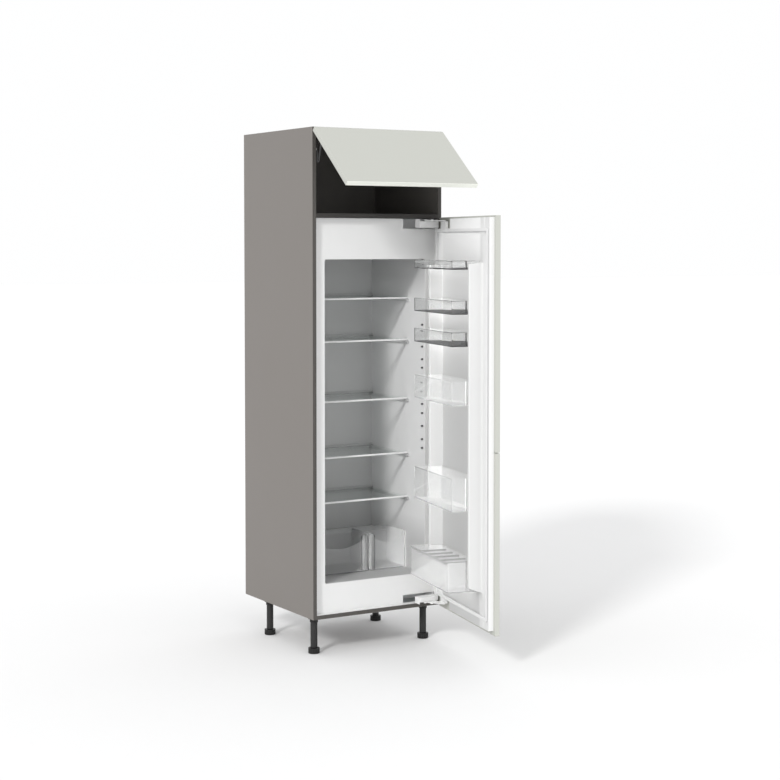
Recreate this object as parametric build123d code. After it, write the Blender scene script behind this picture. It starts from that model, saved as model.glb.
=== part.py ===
from build123d import *
import os
import math

os.makedirs("parts", exist_ok=True)

# ---------------------------------------------------------------- driving sizes (mm)
W = 600.0            # cabinet width
D = 605.0            # cabinet depth
H = 1950.0           # carcass height
T = 16.0             # carcass board
NICHE_TOP = 1596.0   # underside of the fixed shelf (1580 niche)
FLOOR = -150.0       # the floor below the bottom board
DOOR_OPEN = 78.0     # door angle at rest
FLAP_OPEN = 49.6     # flap angle at rest

PX, PY = 599.0, -18.0            # the door's virtual pivot
FY, FZ = -11.5, 1937.0           # flap pivot
HY, HZ = 8.5, 1863.0             # stay arm pivot in its housing
BY, BZ = -25.0, 1889.0           # stay pin on the flap at rest
FRONT_T = 19.0                   # furniture front thickness

LEG_X = (42.0, 558.0)
LEG_Y = (73.0, 460.0)

CAV_X0, CAV_X1 = 67.0, 539.0     # cavity of the appliance
CAV_Z0, CAV_Z1 = 135.0, 1430.0
CAV_Y1 = 460.0
SHELF_Z = (1267.0, 1093.0, 848.0, 619.0, 435.0)
SHELF_FRONT = 157.0
SHELF_BACK = 455.0

HINGE_SUM = 1611.4               # the upper hinge mirrors the lower one about half of this height

OFF = Pos(-W / 2, -D / 2, 0)


# ---------------------------------------------------------------- helpers
def box(x0, x1, y0, y1, z0, z1):
    return Pos((x0 + x1) / 2, (y0 + y1) / 2, (z0 + z1) / 2) * Box(x1 - x0, y1 - y0, z1 - z0)


def cz(x, y, z0, z1, r):
    return Pos(x, y, (z0 + z1) / 2) * Cylinder(r, z1 - z0)


def cy(x, z, y0, y1, r):
    return Pos(x, (y0 + y1) / 2, z) * Rot(90, 0, 0) * Cylinder(r, y1 - y0)


def cx(y, z, x0, x1, r):
    return Pos((x0 + x1) / 2, y, z) * Rot(0, 90, 0) * Cylinder(r, x1 - x0)


def rbox_z(x0, x1, y0, y1, z0, z1, r):
    return Pos((x0 + x1) / 2, (y0 + y1) / 2, z0) * extrude(RectangleRounded(x1 - x0, y1 - y0, r), z1 - z0)


def rbox_y(x0, x1, y0, y1, z0, z1, r):
    s = Rot(90, 0, 0) * extrude(RectangleRounded(x1 - x0, z1 - z0, r), y1 - y0)
    return Pos((x0 + x1) / 2, y1, (z0 + z1) / 2) * s


def prism_x(pts, x0, x1):
    return extrude(Plane.YZ.offset(x0) * Polygon(*pts, align=None), x1 - x0)


def prism_z(pts, z0, z1):
    return extrude(Pos(0, 0, z0) * Polygon(*pts, align=None), z1 - z0)


def prism_y(pts, y0, y1):
    return extrude(Plane.XZ.offset(-y0) * Polygon(*pts, align=None), -(y1 - y0))


def slot_z(p, q, z0, z1, r):
    n = math.hypot(q[0] - p[0], q[1] - p[1])
    a = math.degrees(math.atan2(q[1] - p[1], q[0] - p[0]))
    s = extrude(SlotCenterToCenter(n, 2 * r), z1 - z0)
    return Pos((p[0] + q[0]) / 2, (p[1] + q[1]) / 2, z0) * Rot(0, 0, a) * s


def slot_x(p, q, x0, x1, r):
    n = math.hypot(q[0] - p[0], q[1] - p[1])
    a = math.degrees(math.atan2(q[1] - p[1], q[0] - p[0]))
    s = extrude(Rot(0, 0, a) * SlotCenterToCenter(n, 2 * r), x1 - x0)
    return Plane(origin=(x0, (p[0] + q[0]) / 2, (p[1] + q[1]) / 2), x_dir=(0, 1, 0), z_dir=(1, 0, 0)) * s


def polar(p, r, a):
    return (p[0] + r * math.cos(math.radians(a)), p[1] + r * math.sin(math.radians(a)))


def at_rest(s):
    return Pos(PX, PY, 0) * Rot(0, 0, DOOR_OPEN) * Pos(-PX, -PY, 0) * s


def flap_rest(s):
    return Pos(0, FY, FZ) * Rot(-FLAP_OPEN, 0, 0) * Pos(0, -FY, -FZ) * s


def mirror_x(s):
    return Pos(W / 2, 0, 0) * mirror(Pos(-W / 2, 0, 0) * s, about=Plane.YZ)


def mirror_hinge(s):
    return Pos(0, 0, HINGE_SUM / 2) * mirror(Pos(0, 0, -HINGE_SUM / 2) * s, about=Plane.XY)


def parts_of(items):
    out = []
    for i in items:
        out.extend(i.solids())
    return Compound(out)


def save(name, shape):
    moved = [s.moved(OFF) for s in shape.solids()]
    export_step(Compound(moved) if len(moved) > 1 else moved[0], "parts/" + name + ".step")


# ---------------------------------------------------------------- carcass
# cam fittings: (z of the bolt, z range of the cam) for the level boards, all bored from below
CAM_Y = (124.0, 530.0)
LEVEL = ((8.0, 0.0, 12.5), (NICHE_TOP + 8.0, NICHE_TOP, NICHE_TOP + 12.5), (H - 8.0, H - T, H - 3.5))
RAILS = ((880.0, 960.0), (1500.0, 1580.0))

left = box(0, T, 0, D, 0, H)
cams = []
for zb, z0, z1 in LEVEL:
    for y in CAM_Y:
        left = left - cx(y, zb, T - 11.5, T + 1, 3.05)
        cams.append(cx(y, zb, T - 11.0, T + 30, 3.0) + cz(T + 34, y, z0 + 0.1, z1, 7.4))
for z0, z1 in RAILS:
    zc = (z0 + z1) / 2
    left = left - cx(D - 8, zc, T - 11.5, T + 1, 3.05)
    cams.append(cx(D - 8, zc, T - 11.0, T + 30, 3.0) + cy(T + 34, zc, D - 12.5, D - 0.1, 7.4))
# holes for the stay housing's pegs
STAY_PEGS = ((24.0, 1800.0), (96.0, 1800.0), (60.0, 1846.0))
for y, z in STAY_PEGS:
    left = left - cx(y, z, T - 8.5, T + 1, 2.55)
right = mirror_x(left)
save("side_panel_left", left)
save("side_panel_right", right)
save("cam_fittings", parts_of(cams + [mirror_x(c) for c in cams]))


def board(y0, y1, z0, z1, cuts):
    s = box(T, W - T, y0, y1, z0, z1)
    for zb, c0, c1 in LEVEL:
        if z0 <= zb <= z1:
            for y in CAM_Y:
                for f in (lambda a: a, mirror_x):
                    s = s - f(cx(y, zb, T - 1, T + 30, 3.1)) - f(cz(T + 34, y, c0 - 1, c1 + 0.1, 7.5))
    for c in cuts:
        s = s - c
    return s


leg_holes = []
screws = []
SCREW_A = (30, 150, 270)
for lx in LEG_X:
    for ly in LEG_Y:
        leg_holes.append(cz(lx, ly, -1, 1.0, 23.4))      # locating recess of the socket
        for a in SCREW_A:
            x, y = polar((lx, ly), 20.0, a)
            leg_holes.append(cz(x, y, -1, 12.6, 1.65))
            screws.append(cz(x, y, -10.8, 12.5, 1.6) + cz(x, y, -12.4, -10.8, 2.6))
save("bottom_panel", board(0, D, 0, T, leg_holes + [rbox_z(90, 510, 550, D + 20, -1, T + 1, 12)]))
arm_holes = []
for ax in (100.0, 500.0):
    for y in (30.0, 62.0):
        arm_holes.append(cz(ax, y, H - T - 1, H - T + 10.2, 2.05))
save("top_panel", board(0.6, D, H - T, H, arm_holes + [rbox_z(90, 510, 560, D + 20, H - T - 1, H + 1, 12)]))
save("appliance_shelf", board(0, 560, NICHE_TOP, NICHE_TOP + T, []))
save("compartment_back", box(T, W - T, 509, 517, NICHE_TOP + T, H - T))

rails = []
for z0, z1 in RAILS:
    zc = (z0 + z1) / 2
    r = box(T, W - T, D - T, D, z0, z1)
    for f in (lambda a: a, mirror_x):
        r = r - f(cx(D - 8, zc, T - 1, T + 30, 3.1)) - f(cy(T + 34, zc, D - 12.6, D + 1, 7.5))
    if z0 > 1000:
        for x in (60.0 + 60, 540.0 - 60):
            r = r - cy(x, zc, D - T - 1, D + 1, 3.0)
    rails.append(r)
save("rear_rails", parts_of(rails))

# ---------------------------------------------------------------- legs
sockets, tubes = [], []
for lx in LEG_X:
    for ly in LEG_Y:
        s = cz(lx, ly, -10.8, 1.0, 23.0) + cz(lx, ly, -24, -10.8, 16.6)
        s = s - cz(lx, ly, -25, -5, 14.0)
        for a in SCREW_A:
            x, y = polar((lx, ly), 20.0, a)
            s = s - cz(x, y, -12, 2, 1.65)
        sockets.append(s)
        t = cz(lx, ly, -126, -5, 14.0) - cz(lx, ly, -106, -4, 12.0) - cz(lx, ly, -127, -105, 5.05)
        tubes.append(t)
save("leg_sockets", parts_of(sockets))
save("leg_tubes", parts_of(tubes))
save("leg_screws", parts_of(screws))


def foot(lx, ly):
    cup = cz(lx, ly, FLOOR, FLOOR + 22, 23.0) - cz(lx, ly, FLOOR + 9, FLOOR + 23, 14.6)
    cup = chamfer(cup.edges().filter_by(GeomType.CIRCLE).group_by(Axis.Z)[0], 1.5)
    for k in range(20):
        x, y = polar((lx, ly), 24.0, k * 18)
        cup = cup - cz(x, y, FLOOR + 4, FLOOR + 23, 1.9)
    return cup + cz(lx, ly, FLOOR + 8, -72, 5.0)


save("foot_front_left", foot(LEG_X[0], LEG_Y[0]))
save("foot_front_right", foot(LEG_X[1], LEG_Y[0]))
save("foot_rear_left", foot(LEG_X[0], LEG_Y[1]))
save("foot_rear_right", foot(LEG_X[1], LEG_Y[1]))

# ---------------------------------------------------------------- appliance body
CX0, CX1, CY1, CZ0, CZ1 = 17.2, 582.8, 545.0, 17.4, 1594.0
bay = box(60, 540, 349.2, CY1 + 1, 18.2, 253)
case = box(CX0, CX1, 29, CY1, CZ0, CZ1) - box(CX0 + 0.8, CX1 - 0.8, 28, CY1 - 0.8, CZ0 + 0.8, CZ1 - 0.8)
case = case + box(59.2, 540.8, 348.4, CY1, CZ0, 253.8)
case = case - bay
SUCTION = [(228, 447, 150), (150, 447, 150), (150, 480, 150), (150, 480, 430), (150, 466, 430)]
case = case - cz(150, 480, 250, 260, 3.0)
save("appliance_case", case)

# front frame with the strip at its foot and a lined pocket for each hinge
PK = ((18.2, 50.0), (1553.0, HINGE_SUM - 18.2))
frame = prism_y([(17, 16.2), (583, 16.2), (583, 18.2), (432, 18.2), (432, 50), (583, 50), (583, 1553),
                 (432, 1553), (432, 1593.8), (17, 1593.8)], 25, 29)
frame = frame + box(17.0, 583.0, 1.0, 26.0, 16.2, 17.2)
tray_lo = box(430.8, 582.0, 28, 101.2, 18.2, 51.2)
tray_hi = box(430.8, 582.0, 28, 101.2, 1551.8, HINGE_SUM - 18.2)
frame = frame + (tray_lo - box(432, 581.4, 27, 100, 17, 50)) + (tray_hi - box(432, 581.4, 27, 100, 1553, 1600))
frame = frame - rbox_y(CAV_X0, CAV_X1, 20, 31, CAV_Z0 - 1, CAV_Z1, 9.0)
save("front_frame", frame)

# liner: cavity with a raised floor at the back over the compressor bay
LT = 2.5
outer = rbox_y(CAV_X0 - LT, CAV_X1 + LT, 29, CAV_Y1 + LT, CAV_Z0 - LT, CAV_Z1 + LT, 11.0)
outer = outer - box(CAV_X0 - 5, CAV_X1 + 5, 335 + LT, CAV_Y1 + 5, CAV_Z0 - 5, 270 - LT)
inner = rbox_y(CAV_X0, CAV_X1, 28, CAV_Y1, CAV_Z0, CAV_Z1, 9.0)
inner = inner - box(CAV_X0 - 5, CAV_X1 + 5, 335, CAV_Y1 + 5, CAV_Z0 - 5, 270)
liner = outer - inner
for z in SHELF_Z:
    rib = box(CAV_X0 - 1, CAV_X0 + 11, 150, SHELF_BACK, z - 13.2, z - 5.2)
    rib = rib + box(CAV_X0 - 1, CAV_X0 + 11, SHELF_BACK + 0.5, CAV_Y1 + 1, z - 13.2, z + 6)
    liner = liner + rib
    liner = liner + box(CAV_X1 - 11, CAV_X1 + 1, 150, SHELF_BACK, z - 13.2, z - 5.2)
    liner = liner + box(CAV_X1 - 11, CAV_X1 + 1, SHELF_BACK + 0.5, CAV_Y1 + 1, z - 13.2, z + 6)
for z in (1159, 1069, 1017, 982, 937, 894, 832, 794, 741, 686, 650):
    liner = liner + cx(44, z, CAV_X1 - 7.5, CAV_X1 + 1, 4.0)
LAMP = (230.0, 380.0, 120.0, 260.0)
liner = liner - box(LAMP[0], LAMP[1], LAMP[2], LAMP[3], CAV_Z1 - 1, CAV_Z1 + 5)
save("inner_liner", liner)

lamp_recess = box(LAMP[0], LAMP[1], LAMP[2], LAMP[3], CAV_Z1, CAV_Z1 + 26)
evap = box(110, 490, 463.0, 466.0, 420, 1320)
foam = box(CX0 + 0.8, CX1 - 0.8, 29, CY1 - 0.8, CZ0 + 0.8, CZ1 - 0.8)
foam = foam - outer - box(59.2, 540.8, 348.4, CY1, CZ0, 253.8)
foam = foam - box(430.8, 582.2, 28, 101.2, 18, 51.2) - box(430.8, 582.2, 28, 101.2, 1551.8, 1594) - lamp_recess
foam = foam - box(109, 491, 462.4, 466.2, 419, 1321)
foam = foam - cz(150, 480, 250, 433.5, 3.0) - cy(150, 430, 462, 483, 3.0)
save("insulation", foam)

# roll-bond plate with a raised channel
channel = []
for k in range(9):
    z = 480 + k * 95
    channel.append(box(140, 460, 462.6, 463.2, z, z + 8))
evap_all = evap
for c in channel:
    evap_all = evap_all + c
for k in range(8):
    z = 480 + k * 95
    x = 452 if k % 2 == 0 else 140
    evap_all = evap_all + box(x, x + 8, 462.6, 463.2, z, z + 103)
save("evaporator", evap_all)

# ---------------------------------------------------------------- cooling unit
pot = fillet(cz(300, 447, 32, 214, 70).edges(), 28)
plate = rbox_z(195, 405, 392, 502, 27, 30, 8)
comp = pot + cz(300, 447, 29, 60, 34) + plate
for x in (210, 390):
    for y in (404, 490):
        comp = comp + cz(x, y, 18.2, 27.5, 9) + cz(x, y, 29, 34, 4)
comp = comp + box(288, 312, 378, 392, 90, 140)
for x0, x1 in ((222, 240), (360, 378)):
    comp = comp + cx(447, 150, x0, x1, 5.0)
comp = comp - cx(447, 150, 221, 232, 2.6) - cx(447, 150, 368, 379, 2.6)
save("compressor", comp)


def pipe(pts, r):
    s = None
    for a, b in zip(pts[:-1], pts[1:]):
        v = Vector(*b) - Vector(*a)
        c = Plane(origin=a, z_dir=v) * Cylinder(r, v.length, align=(Align.CENTER, Align.CENTER, Align.MIN))
        s = c if s is None else s + c
    for p in pts[1:-1]:
        s = s + Pos(*p) * Sphere(r)
    return s


suction = pipe([(231, 447, 150)] + SUCTION[1:-1] + [(150, 466.3, 430)], 2.5)
discharge = pipe([(369, 447, 150), (470, 447, 150), (470, 554, 150), (545, 554, 150), (545, 554, 317)], 2.5)
save("refrigerant_pipe", parts_of([suction, discharge]))

CN_Y = 554.0
coil = []
n_pass = 17
pitch = 70.0
z_first = 320.0
for k in range(n_pass):
    z = z_first + k * pitch
    x0, x1 = 92.0, 508.0
    if k == 0:
        x1 = 545.0
        coil.append(cz(x1, CN_Y, z - 2.9, z + 2.4, 2.4))
    coil.append(cx(CN_Y, z, x0, x1, 2.4))
for k in range(n_pass - 1):
    z = z_first + (k + 0.5) * pitch
    ring = Pos(0, CN_Y, z) * Rot(90, 0, 0) * Torus(pitch / 2, 2.4)
    if k % 2 == 0:
        coil.append((Pos(92, 0, 0) * ring) & box(40, 92, CN_Y - 5, CN_Y + 5, z - 60, z + 60))
    else:
        coil.append((Pos(508, 0, 0) * ring) & box(508, 560, CN_Y - 5, CN_Y + 5, z - 60, z + 60))
z_last = z_first + (n_pass - 1) * pitch
for k in range(20):
    x = 100 + k * (400 / 19)
    coil.append(cz(x, CN_Y + 3.4, z_first - 12, z_last + 12, 0.9))
    coil.append(cz(x + 6, CN_Y - 3.4, z_first - 12, z_last + 12, 0.9))
for x in (80.0, 520.0 - 2):
    for z in (z_first + 8, z_last - 40):
        coil.append(box(x, x + 8, CY1, CN_Y - 2.6, z, z + 24))
save("condenser", parts_of(coil))

tray_d = rbox_z(190, 410, 372, 516, 214.2, 240, 14)
tray_d = tray_d - rbox_z(192, 408, 374, 514, 216.4, 241, 12)
save("drip_tray", tray_d)

# mains inlet on the bay's wall: an open socket with three blades facing the back
inlet = box(60, 96, 512, 545, 84, 112) - box(65, 91, 524, 546, 89, 107)
for x, z in ((72, 98), (84, 98), (78, 103)):
    inlet = inlet + box(x - 1, x + 1, 520, 540, z - 2, z + 2)
save("mains_inlet", inlet)

# lamp unit in the cavity's ceiling
z0 = CAV_Z1
lamp = box(LAMP[0] + 0.3, LAMP[1] - 0.3, LAMP[2] + 0.3, LAMP[3] - 0.3, z0 - 0.5, z0 + 25.7)
lamp = lamp - box(LAMP[0] + 6, 318, LAMP[2] + 6, LAMP[3] - 6, z0 - 1, z0 + 21)
lamp = lamp - cz(350, 190, z0 - 1, z0 + 14, 16.0)
for k in range(5):
    lamp = lamp + cz(248 + k * 15, 190, z0 + 14, z0 + 22, 3.0)
lamp = lamp + cz(350, 190, z0 + 4, z0 + 15, 3.0)
save("lamp_housing", lamp)
lens = box(LAMP[0] + 6.3, 317.7, LAMP[2] + 6.3, LAMP[3] - 6.3, z0 - 0.5, z0 + 1.5)
for k in range(11):
    lens = lens - box(LAMP[0] + 10 + k * 7, LAMP[0] + 13 + k * 7, LAMP[2] + 12, LAMP[3] - 12, z0 + 0.7, z0 + 2)
save("lamp_lens", lens)
knob = cz(350, 190, z0 - 0.5, z0 + 12, 14.5)
for k in range(16):
    x, y = polar((350, 190), 15.4, k * 22.5)
    knob = knob - cz(x, y, z0 - 1, z0 + 13, 1.8)
knob = knob - cz(350, 190, z0 + 3.6, z0 + 13, 3.05) - box(349, 351, 176, 186, z0 - 1, z0 + 0.6)
save("thermostat_knob", knob)

# ---------------------------------------------------------------- shelves and crispers
for i, z in enumerate(SHELF_Z):
    x0, x1 = CAV_X0 + 1.5, CAV_X1 - 1.5
    s = box(x0, x1, SHELF_FRONT + 3, SHELF_BACK - 3, z - 2, z + 2)
    front = box(x0, x1, SHELF_FRONT, SHELF_FRONT + 13, z - 5, z + 5)
    front = fillet(front.edges().filter_by(Axis.X).group_by(Axis.Y)[0], 2.5)
    back = box(x0, x1, SHELF_BACK - 11, SHELF_BACK, z - 5, z + 5)
    back = back + box(x0, x1, SHELF_BACK - 4, SHELF_BACK, z, z + 14)
    save("shelf_%d" % (i + 1), s + front + back)


def crisper(x0, x1, low):
    y0, y1, z0, z1 = 160.0, 322.0, 137.6, 293.0
    t = 2.5
    s = rbox_z(x0, x1, y0, y1, z0, z1, 8.0) - rbox_z(x0 + t, x1 - t, y0 + t, y1 - t, z0 + t, z1 + 1, 6.0)
    # scooped front
    half = (x1 - x0) / 2 - 14
    xm = (x0 + x1) / 2
    pts = [(xm - half, z1 + 2)]
    for k in range(13):
        u = -1 + k / 6.0
        pts.append((xm + half * u, z1 - 16 - (z1 - 16 - low) * (1 - u * u)))
    pts.append((xm + half, z1 + 2))
    s = s - prism_y(pts, y0 - 1, y0 + t + 1)
    return s


save("crisper_left", crisper(72.0, 352.0, 240.0))
save("crisper_right", crisper(356.0, 528.0, 250.0))

# ---------------------------------------------------------------- door (drawn closed, stored open)
NX = 430.0
slab = box(17.5, 582.5, -2, 18, 18, 1592)
slab = slab - box(NX, 584, -3, 26, 17, 50) - box(NX, 584, -3, 26, 1553, 1593)
core = box(18.3, 581.7, -1.2, 19, 18.8, 1591.2)
core = core - box(NX - 0.8, 584, -3, 26, 17, 50.8) - box(NX - 0.8, 584, -3, 26, 1552.2, 1593)
save("door_skin", at_rest(slab - core))
save("door_foam", at_rest(core & box(0, 600, -3, 16, 0, 1600)))

RACKS = [(1393.0, 1427.0), (1222.0, 1275.0), (1099.0, 1154.0), (873.0, 967.0), (467.0, 595.0)]
BOTTOM_RACK = (156.0, 272.0)
dl = core & box(0, 600, 16, 18, 0, 1600)
dl = dl + rbox_y(40, 560, 17, 20, 68, 1535, 4)
for xa, xb in ((78, 98), (508, 530)):
    dyke = prism_y([(xa, 150), (xb, 150), (xb, 1420), (xa, 1420)], 19, 75)
    dyke = fillet(dyke.edges().filter_by(Axis.Z).group_by(Axis.Y)[-1], 5)
    dl = dl + dyke
for z0, z1 in RACKS + [BOTTOM_RACK]:
    zl = z0 + (z1 - z0) * 0.35
    for xa, xb in ((97, 101.4), (504.6, 509)):
        dl = dl + box(xa, xb, 56, 64, zl, zl + 8)
save("door_liner", at_rest(dl))

gk = rbox_y(24, 576, 18, 24.7, 52, 1551, 6) - rbox_y(38, 562, 17, 26, 66, 1537, 4)
gk = gk - box(0, 600, 20.2, 22.4, 0, 1600) + (
    (rbox_y(26, 574, 20, 22.6, 54, 1549, 6) - rbox_y(36, 564, 19, 24, 64, 1539, 4)))
save("door_gasket", at_rest(gk))

BR = [(120, 120), (480, 120), (120, 580), (480, 580), (120, 820), (480, 820), (120, 1480), (480, 1480)]
fronts = {"front_lower": (0.0, 698.5), "front_upper": (701.5, 1599.0)}
for name, (z0, z1) in fronts.items():
    f = box(1.5, 598.5, -2 - FRONT_T, -2, z0, z1)
    f = chamfer(f.edges().group_by(Axis.Y)[0], 0.8)
    for x, z in BR:
        if z0 < z < z1:
            f = f - rbox_y(x - 26, x + 26, -3.8, -1, z - 16, z + 16, 4)
            for dx in (-16, 16):
                f = f - cy(x + dx, z, -15.2, -1, 2.05)
    save(name, at_rest(f))
brackets = []
for x, z in BR:
    b = rbox_y(x - 25.6, x + 25.6, -3.7, -2.0, z - 15.6, z + 15.6, 4)
    for dx in (-16, 16):
        b = b + cy(x + dx, z, -15, -2.9, 2.0)
    b = b - cy(x, z, -5, -1, 4.0)
    brackets.append(at_rest(b))
save("front_brackets", parts_of(brackets))


def rack(z0, z1, yf, x0, cells):
    t = 2.5
    x1 = 520.0

    def outline(d):
        a = [(98.8 + d, 20.5 + d), (507.2 - d, 20.5 + d), (507.2 - d, 76.5 + d), (x1 - d, 76.5 + d),
             (x1 - d, yf - d), (x0 + d, yf - d), (x0 + d, 76.5 + d), (98.8 + d, 76.5 + d)]
        return a

    def solid(d, za, zb):
        # the rim in front of the ribs and the shallower part between them
        f = rbox_z(x0 + d, x1 - d, 76.5 + d, yf - d, za, zb, 6.0 if d == 0 else 4.0)
        b = box(98.8 + d, 507.2 - d, 20.5 + d, 90.0, za, zb)
        return f + b

    s = solid(0, z0, z1) - solid(t, z0 + t, z1 + 1)
    zl = z0 + (z1 - z0) * 0.35
    for xa, xb in ((98.0, 102.0), (504.0, 508.0)):
        s = s - box(xa, xb, 55.6, 64.4, z0 - 1, zl + 8.2)
    if cells:
        for x in (190.0, 283.0, 376.0, 452.0):
            s = s + box(x, x + 2.2, 24, yf - 2, z0 + 2, z1 - 26)
    # rounded bead along the front rim
    s = s + box(x0 + 6, x1 - 6, yf - 3.4, yf, z1 - 6, z1)
    return s


save("rack_top", at_rest(rack(RACKS[0][0], RACKS[0][1], 140.0, 92.0, False)))
save("racks_small", parts_of([at_rest(rack(a, b, 140.0, 92.0, False)) for a, b in RACKS[1:3]]))
save("rack_medium", at_rest(rack(RACKS[3][0], RACKS[3][1], 140.0, 92.0, False)))
save("rack_tall", at_rest(rack(RACKS[4][0], RACKS[4][1], 140.0, 92.0, False)))
save("rack_bottom", at_rest(rack(BOTTOM_RACK[0], BOTTOM_RACK[1], 155.0, 97.0, True)))

# ---------------------------------------------------------------- door hinges: a rhombus linkage about the virtual pivot
AL, BE = 120.0, 161.3
P = (PX, PY)
A1 = polar(P, 56, AL)
A1b = polar(P, 86, AL)
A2 = polar(P, 75, BE)
A2b = polar(P, 105, BE)
TH = DOOR_OPEN
PIN, HOLE, LOOSE = 3.0, 3.05, 3.35

plates = box(546, 581.2, 24.5, 70, 18.2, 20.2)
plates = plates + cz(A1[0], A1[1], 20, 24, PIN) + cz(A1b[0], A1b[1], 20, 24, PIN)
save("hinge_plates", parts_of([plates, mirror_hinge(plates)]))

# bars on the fixed plates: they turn with the door
for name, a in (("hinge_bars_a", A1), ("hinge_bars_b", A1b)):
    m, n = polar(a, 75, BE + TH), polar(a, 105, BE + TH)
    s = slot_z(a, n, 21, 24, 5.5) - cz(a[0], a[1], 20, 25, HOLE)
    s = s + cz(m[0], m[1], 23, 27.9, PIN) + cz(n[0], n[1], 23, 27.9, PIN)
    save(name, parts_of([s, mirror_hinge(s)]))

# bars on the door's leaves: they keep their direction while the door turns
A2r = polar(P, 75, BE + TH)
A2br = polar(P, 105, BE + TH)


def cover(z0, z1, skirt):
    x0, x1, y0, y1 = 473.0, 563.0, -40.0, 0.0
    c = rbox_z(x0, x1, y0, y1, z0, z1, 3.0) - rbox_z(x0 + 2, x1 - 2, y0 + 2, y1 - 2, z0 - 1, z1 - 2, 2.0)
    c = c + box(x0, x0 + 2, y0 + 4, y1 - 4, skirt, z0 + 4)
    return c


for name, a, low, rr in (("hinge_bars_c", A2r, True, 1), ("hinge_bars_d", A2br, False, 0)):
    m, n = polar(a, 56, AL), polar(a, 86, AL)
    s = slot_z(a, n, 25, 28, 5.5) - cz(a[0], a[1], 24, 29, HOLE)
    for q in (m, n):
        s = s - cz(q[0], q[1], 24, 29, LOOSE)
    both = [s, mirror_hinge(s)]
    if low:
        q = polar(a, 76, AL)
        post = cz(q[0], q[1], 27.5, 45.0, 3.4)
        lower = s + post + cover(28.6, 46.0, 19.0)
        q = polar(a, 76, AL)
        post = cz(q[0], q[1], 27.5, 53.0, 3.4)
        upper = mirror_hinge(s + post + cover(28.6, HINGE_SUM - 1557.0, 19.4))
        both = [lower, upper]
    save(name, parts_of(both))

# leaves on the door (drawn closed, stored open)
leaf = slot_z(A2, A2b, 29, 31, 6.5) + box(492, 540, 2.5, 15.5, 29, 50)
leaf = leaf + cz(A2[0], A2[1], 25.1, 30, PIN) + cz(A2b[0], A2b[1], 25.1, 30, PIN)
leaf_t = slot_z(A2, A2b, 29, 31, 6.5) + box(492, 540, 2.5, 15.5, 29, HINGE_SUM - 1553)
leaf_t = leaf_t + cz(A2[0], A2[1], 25.1, 30, PIN) + cz(A2b[0], A2b[1], 25.1, 30, PIN)
save("hinge_leaves", parts_of([at_rest(leaf), at_rest(mirror_hinge(leaf_t))]))

# ---------------------------------------------------------------- flap (drawn closed, stored open)
FLAP_X = (1.5, 598.5)
CUP_X = (100.0, 500.0)
CUP_Z = 1924.0
fl = box(FLAP_X[0], FLAP_X[1], -21.5, -2.5, 1602, 1944)
fl = chamfer(fl.edges().group_by(Axis.Y)[0], 0.8)
cups = []
for x in CUP_X:
    fl = fl - cy(x, CUP_Z, -15.0, -1, 17.5)
    c = cy(x, CUP_Z, -14.9, -2.5, 17.4) - cy(x, CUP_Z, -14.1, -1, 16.6)
    wing = rbox_y(x - 30, x + 30, -2.5, -1.5, CUP_Z - 9, CUP_Z + 9, 4) - cy(x, CUP_Z, -4, 0, 16.6)
    c = c + wing + (cx(FY, FZ, x - 10.6, x + 10.6, 1.25))
    for dx in (-24, 24):
        c = c + cy(x + dx, CUP_Z, -12, -2.0, 1.8)
        fl = fl - cy(x + dx, CUP_Z, -12.2, -1, 1.85)
    cups.append(flap_rest(c))
save("flap_hinge_cups", parts_of(cups))

# stay pin bracket position on the closed flap
a = math.radians(FLAP_OPEN)
dy, dz = BY - FY, BZ - FZ
BY0 = FY + dy * math.cos(a) - dz * math.sin(a)
BZ0 = FZ + dy * math.sin(a) + dz * math.cos(a)
brk = []
ear = slot_x((BY0, BZ0), (4.0, BZ0 - 8), 27.6, 30.4, 6.0) & box(20, 40, -2.5, 40, BZ0 - 40, BZ0 + 40)
ear = ear + box(27.6, 30.4, -2.5, BY0 - 2, BZ0 - 16, BZ0 + 4)
ear = ear + box(27.6, 46.0, -2.5, -0.5, BZ0 - 22, BZ0 + 14)
ear = ear + cx(BY0, BZ0, 24.2, 29, 2.0)
for z in (BZ0 - 14, BZ0 + 6):
    ear = ear + cy(39.5, z, -12, -1.5, 1.8)
    for f in (lambda q: q, mirror_x):
        fl = fl - f(cy(39.5, z, -12.2, -1, 1.85))
save("stay_brackets", parts_of([flap_rest(ear), flap_rest(mirror_x(ear))]))
save("flap_panel", flap_rest(fl))

arms = []
for x in CUP_X:
    s = cx(FY, FZ, x - 4, x + 4, 2.2)
    s = s + box(x - 4, x + 4, FY - 1, FY + 1, 1923, FZ - 0.5)
    s = s + box(x - 4, x + 4, FY - 1, 26, 1923, 1925)
    s = s + box(x - 8, x + 8, 18, 76, 1923, H - T)
    s = s - cx(FY, FZ, x - 5, x + 5, 1.30)
    for y in (30.0, 62.0):
        s = s + cz(x, y, H - T - 1, H - T + 10, 2.0)
    arms.append(s)
save("flap_hinge_arms", parts_of(arms))

# stay housing, arm and link on the left side, mirrored for the right
EY, EZ = HY + (BY - FY), HZ + (BZ - FZ)
hs = box(16, 20, 12, 110, 1786, 1858)
hs = hs + slot_x((HY, HZ), (24.0, 1840.0), 16, 20, 7.0) + box(20, 30, 44, 106, 1790, 1838)
hs = hs + cx(HY, HZ, 19, 23.6, 2.5)
for y, z in STAY_PEGS:
    hs = hs + cx(y, z, T - 8, T + 1, 2.5)
save("stay_housings", parts_of([hs, mirror_x(hs)]))
ar = slot_x((HY, HZ), (EY, EZ), 20.4, 23.4, 5.5) - cx(HY, HZ, 20, 24, 2.55)
ar = ar + cx(EY, EZ, 23, 27.2, 2.0)
save("stay_arms", parts_of([ar, mirror_x(ar)]))
ln = slot_x((EY, EZ), (BY, BZ), 24.2, 27.0, 4.5) - cx(EY, EZ, 23, 28, 2.05) - cx(BY, BZ, 23, 28, 2.35)
save("stay_links", parts_of([ln, mirror_x(ln)]))
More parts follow.
